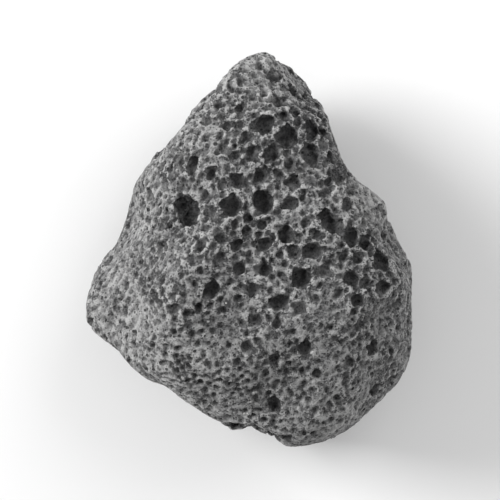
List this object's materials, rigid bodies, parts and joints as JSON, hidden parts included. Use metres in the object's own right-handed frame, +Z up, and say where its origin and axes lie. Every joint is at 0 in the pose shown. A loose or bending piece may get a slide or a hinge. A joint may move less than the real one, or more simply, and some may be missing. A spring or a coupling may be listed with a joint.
{
  "type": "lava rock",
  "caption": "Loose pebble of black lava rock, shield-shaped, pitted all over with gas bubbles, for fire bowls, planters and aquarium beds.",
  "frame": {"origin": "on the surface that the stone rests on, at the middle of its width and length", "axes": "+Z up, out of the broad upper face; +Y along the length, towards the blunt tip; +X across the width"},
  "size_m": [0.0208, 0.025, 0.0134],
  "materials": {
    "lava": "matt, rough and gritty, with open gas bubbles and a slightly paler, denser rind along the edges"
  },
  "bodies": {
    "root": {"lava_stone": "lava"}
  },
  "joints": []
}
